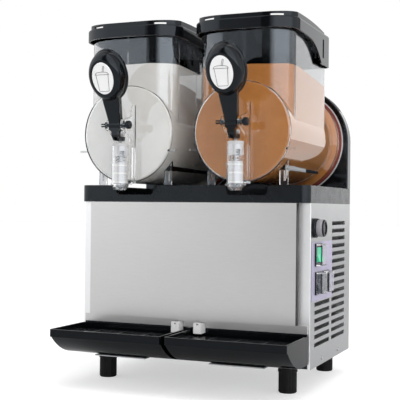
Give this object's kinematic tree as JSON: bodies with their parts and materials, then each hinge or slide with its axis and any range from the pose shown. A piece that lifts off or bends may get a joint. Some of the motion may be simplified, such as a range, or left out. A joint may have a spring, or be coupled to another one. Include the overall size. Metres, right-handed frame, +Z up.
{
  "type": "slush machine",
  "caption": "Countertop slush machine with clear horizontal bowls, stirring screws round cooling drums, lever taps, drip trays and a louvred stainless cooling cabinet.",
  "frame": {"origin": "middle of the footprint of the whole machine, on the surface that the feet stand on", "axes": "+Z up, -Y towards the taps and trays, +X to the right of someone facing the taps"},
  "size_m": [0.4202, 0.4233, 0.5926],
  "materials": {
    "stainless": "satin brushed",
    "steel": "machined",
    "bright_steel": "bright",
    "galvanised": "dull galvanised",
    "black_gloss": "gloss",
    "black_satin": "satin",
    "clear": "clear, polished",
    "white_plastic": "smooth",
    "grey_plastic": "fine texture",
    "gasket_red": "soft silicone",
    "rubber_black": "matt",
    "seal_white": "soft silicone",
    "bronze": "sintered",
    "motor_grey": "cast",
    "compressor_black": "enamel",
    "coil_aluminium": "finned",
    "green_lens": "translucent"
  },
  "bodies": {
    "chassis": {"base_pan": "galvanised", "side_panel_left": "stainless", "side_panel_right": "stainless", "rear_panel": "stainless", "front_panel": "stainless", "lower_front_rail": "stainless", "kick_panel": "black_satin", "top_cover": "black_satin", "rear_housing": "black_gloss", "motor_cover": "black_satin", "seal_plates": "white_plastic", "bowl_gaskets": "gasket_red", "evaporator_left": "stainless", "evaporator_right": "stainless", "shaft_bushings": "bronze", "gearmotor_left": "motor_grey", "gearmotor_right": "motor_grey", "drain_spouts": "white_plastic", "control_plate": "grey_plastic", "switch_frames": "black_satin", "switch_covers": "clear", "thermostat": "black_satin", "compressor": "compressor_black", "condenser": "coil_aluminium", "fan_motor": "motor_grey", "control_box": "black_satin", "cord_gland": "black_satin", "feet": "rubber_black", "panel_screws": "steel"},
    "auger_left_body": {"auger_left": "white_plastic", "auger_shaft_left": "steel"},
    "bowl_left_body": {"bowl_left": "clear", "lever_pin_left": "black_satin", "tap_cap_left": "white_plastic", "tap_spring_left": "bright_steel"},
    "lid_left_body": {"lid_left": "black_gloss"},
    "lever_left_body": {"tap_lever_left": "black_gloss", "lever_badge_left": "white_plastic"},
    "piston_left_body": {"tap_piston_left": "white_plastic", "piston_seals_left": "seal_white"},
    "tray_left_body": {"drip_tray_left": "black_gloss"},
    "grid_left_body": {"drip_grid_left": "black_gloss"},
    "bowl_rocker_left_body": {"bowl_switch_rocker_left": "black_satin"},
    "auger_right_body": {"auger_right": "white_plastic", "auger_shaft_right": "steel"},
    "bowl_right_body": {"bowl_right": "clear", "lever_pin_right": "black_satin", "tap_cap_right": "white_plastic", "tap_spring_right": "bright_steel"},
    "lid_right_body": {"lid_right": "black_gloss"},
    "lever_right_body": {"tap_lever_right": "black_gloss", "lever_badge_right": "white_plastic"},
    "piston_right_body": {"tap_piston_right": "white_plastic", "piston_seals_right": "seal_white"},
    "tray_right_body": {"drip_tray_right": "black_gloss"},
    "grid_right_body": {"drip_grid_right": "black_gloss"},
    "bowl_rocker_right_body": {"bowl_switch_rocker_right": "black_satin"},
    "main_rocker_body": {"main_switch_rocker": "green_lens"},
    "knob_body": {"thermostat_knob": "black_satin"},
    "fan_body": {"fan_blade": "black_satin"}
  },
  "joints": [
    {"name": "auger_spin_left", "type": "hinge", "parent": "chassis", "child": "auger_left_body", "pos_m": [-0.10715, -0.07646, 0.4084], "axis": [0, 1, 0], "continuous": true},
    {"name": "bowl_slide_left", "type": "slide", "parent": "chassis", "child": "bowl_left_body", "axis": [0, -1, 0], "range_m": [0, 0.26]},
    {"name": "lid_lift_left", "type": "slide", "parent": "bowl_left_body", "child": "lid_left_body", "axis": [0, 0, 1], "range_m": [0, 0.08]},
    {"name": "lever_pull_left", "type": "hinge", "parent": "bowl_left_body", "child": "lever_left_body", "pos_m": [-0.10715, -0.15646, 0.419], "axis": [1, 0, 0], "range_deg": [0, 40], "stiffness_Nm_per_rad": 1.5, "springref_deg": -11.46},
    {"name": "piston_lift_left", "type": "slide", "parent": "bowl_left_body", "child": "piston_left_body", "axis": [0, 0, 1], "range_m": [0, 0.0088], "deforming": ["tap_spring_left"]},
    {"name": "tray_slide_left", "type": "slide", "parent": "chassis", "child": "tray_left_body", "axis": [0, -1, 0], "range_m": [0, 0.12]},
    {"name": "grid_lift_left", "type": "slide", "parent": "tray_left_body", "child": "grid_left_body", "axis": [0, 0, 1], "range_m": [0, 0.04]},
    {"name": "auger_spin_right", "type": "hinge", "parent": "chassis", "child": "auger_right_body", "pos_m": [0.09025, -0.07646, 0.4084], "axis": [0, 1, 0], "continuous": true},
    {"name": "bowl_slide_right", "type": "slide", "parent": "chassis", "child": "bowl_right_body", "axis": [0, -1, 0], "range_m": [0, 0.26]},
    {"name": "lid_lift_right", "type": "slide", "parent": "bowl_right_body", "child": "lid_right_body", "axis": [0, 0, 1], "range_m": [0, 0.08]},
    {"name": "lever_pull_right", "type": "hinge", "parent": "bowl_right_body", "child": "lever_right_body", "pos_m": [0.09025, -0.15646, 0.419], "axis": [1, 0, 0], "range_deg": [0, 40], "stiffness_Nm_per_rad": 1.5, "springref_deg": -11.46},
    {"name": "piston_lift_right", "type": "slide", "parent": "bowl_right_body", "child": "piston_right_body", "axis": [0, 0, 1], "range_m": [0, 0.0088], "deforming": ["tap_spring_right"]},
    {"name": "tray_slide_right", "type": "slide", "parent": "chassis", "child": "tray_right_body", "axis": [0, -1, 0], "range_m": [0, 0.12]},
    {"name": "grid_lift_right", "type": "slide", "parent": "tray_right_body", "child": "grid_right_body", "axis": [0, 0, 1], "range_m": [0, 0.04]},
    {"name": "main_rocker_tip", "type": "hinge", "parent": "chassis", "child": "main_rocker_body", "pos_m": [0.19395, -0.04046, 0.2166], "axis": [0, 1, 0], "range_deg": [0, 20]},
    {"name": "bowl_rocker_left_tip", "type": "hinge", "parent": "chassis", "child": "bowl_rocker_left_body", "pos_m": [0.19395, -0.03846, 0.1718], "axis": [0, 1, 0], "range_deg": [0, 20]},
    {"name": "bowl_rocker_right_tip", "type": "hinge", "parent": "chassis", "child": "bowl_rocker_right_body", "pos_m": [0.19395, 0.00354, 0.1718], "axis": [0, 1, 0], "range_deg": [0, 20]},
    {"name": "thermostat_turn", "type": "hinge", "parent": "chassis", "child": "knob_body", "pos_m": [0.19655, -0.05946, 0.259], "axis": [1, 0, 0], "range_deg": [0, 270]},
    {"name": "fan_spin", "type": "hinge", "parent": "chassis", "child": "fan_body", "pos_m": [0.10555, 0.08854, 0.14], "axis": [1, 0, 0], "continuous": true}
  ],
  "couplings": [
    {"joint": "piston_lift_left", "follows": "lever_pull_left", "m_per_rad": 0.0125},
    {"joint": "piston_lift_right", "follows": "lever_pull_right", "m_per_rad": 0.0125}
  ]
}
